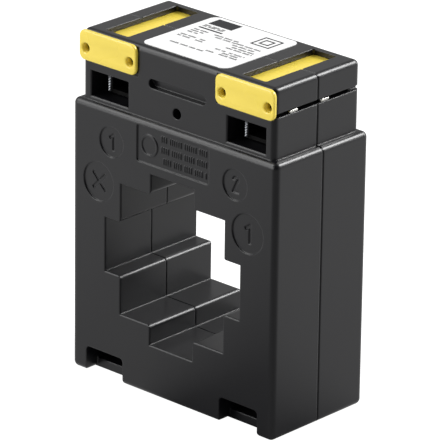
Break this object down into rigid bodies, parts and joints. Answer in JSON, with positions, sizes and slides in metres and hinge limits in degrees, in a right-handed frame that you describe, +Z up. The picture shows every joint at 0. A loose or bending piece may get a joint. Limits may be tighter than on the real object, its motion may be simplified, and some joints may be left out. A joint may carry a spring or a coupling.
{
  "type": "current transformer",
  "caption": "Window-type current transformer: moulded case with a stepped primary window, paired clamp terminals and sliding yellow terminal covers.",
  "frame": {"origin": "centre of the underside, on the surface that the case stands on", "axes": "+X to the right across the front face, +Y to the rear along the primary conductor, +Z up"},
  "size_m": [0.061, 0.03, 0.0813],
  "materials": {
    "case": "fine spark-eroded satin, dark anthracite",
    "cover": "satin, warm pale yellow",
    "terminal": "bright nickel plate",
    "core": "annealed strip",
    "winding": "enamelled copper",
    "insulation": "natural moulding",
    "wrap": "polyester film tape",
    "sleeve": "sleeving",
    "label": null
  },
  "bodies": {
    "case": {"front_housing": "case", "rear_housing": "case", "ring_core": "core", "core_cap_front": "insulation", "core_cap_rear": "insulation", "secondary_winding": "winding", "winding_wrap": "wrap", "lead_wire_left": "sleeve", "lead_wire_right": "sleeve", "terminal_rail_left": "terminal", "terminal_rail_right": "terminal", "rating_label": "label"},
    "cover_left": {"cover_left": "cover"},
    "cover_right": {"cover_right": "cover"},
    "cage_left_front": {"clamp_cage_left_front": "terminal"},
    "cage_left_rear": {"clamp_cage_left_rear": "terminal"},
    "cage_right_front": {"clamp_cage_right_front": "terminal"},
    "cage_right_rear": {"clamp_cage_right_rear": "terminal"},
    "screw_left_front": {"clamp_screw_left_front": "terminal"},
    "screw_left_rear": {"clamp_screw_left_rear": "terminal"},
    "screw_right_front": {"clamp_screw_right_front": "terminal"},
    "screw_right_rear": {"clamp_screw_right_rear": "terminal"}
  },
  "joints": [
    {"name": "cover_left_slide", "type": "slide", "parent": "case", "child": "cover_left", "axis": [0, -1, 0], "range_m": [0, 0.0243]},
    {"name": "cover_right_slide", "type": "slide", "parent": "case", "child": "cover_right", "axis": [0, -1, 0], "range_m": [0, 0.0243]},
    {"name": "screw_left_front_turn", "type": "hinge", "parent": "case", "child": "screw_left_front", "pos_m": [-0.0204, -0.005, 0.0754], "axis": [0, 0, -1], "range_deg": [0, 1389]},
    {"name": "screw_left_rear_turn", "type": "hinge", "parent": "case", "child": "screw_left_rear", "pos_m": [-0.0204, 0.005, 0.0754], "axis": [0, 0, -1], "range_deg": [0, 1389]},
    {"name": "screw_right_front_turn", "type": "hinge", "parent": "case", "child": "screw_right_front", "pos_m": [0.0204, -0.005, 0.0754], "axis": [0, 0, -1], "range_deg": [0, 1389]},
    {"name": "screw_right_rear_turn", "type": "hinge", "parent": "case", "child": "screw_right_rear", "pos_m": [0.0204, 0.005, 0.0754], "axis": [0, 0, -1], "range_deg": [0, 1389]},
    {"name": "cage_left_front_lift", "type": "slide", "parent": "case", "child": "cage_left_front", "axis": [0, 0, 1], "range_m": [0, 0.0027]},
    {"name": "cage_left_rear_lift", "type": "slide", "parent": "case", "child": "cage_left_rear", "axis": [0, 0, 1], "range_m": [0, 0.0027]},
    {"name": "cage_right_front_lift", "type": "slide", "parent": "case", "child": "cage_right_front", "axis": [0, 0, 1], "range_m": [0, 0.0027]},
    {"name": "cage_right_rear_lift", "type": "slide", "parent": "case", "child": "cage_right_rear", "axis": [0, 0, 1], "range_m": [0, 0.0027]}
  ],
  "couplings": [
    {"joint": "screw_left_front_turn", "follows": "cage_left_front_lift", "rad_per_m": 8976},
    {"joint": "screw_left_rear_turn", "follows": "cage_left_rear_lift", "rad_per_m": 8976},
    {"joint": "screw_right_front_turn", "follows": "cage_right_front_lift", "rad_per_m": 8976},
    {"joint": "screw_right_rear_turn", "follows": "cage_right_rear_lift", "rad_per_m": 8976}
  ]
}
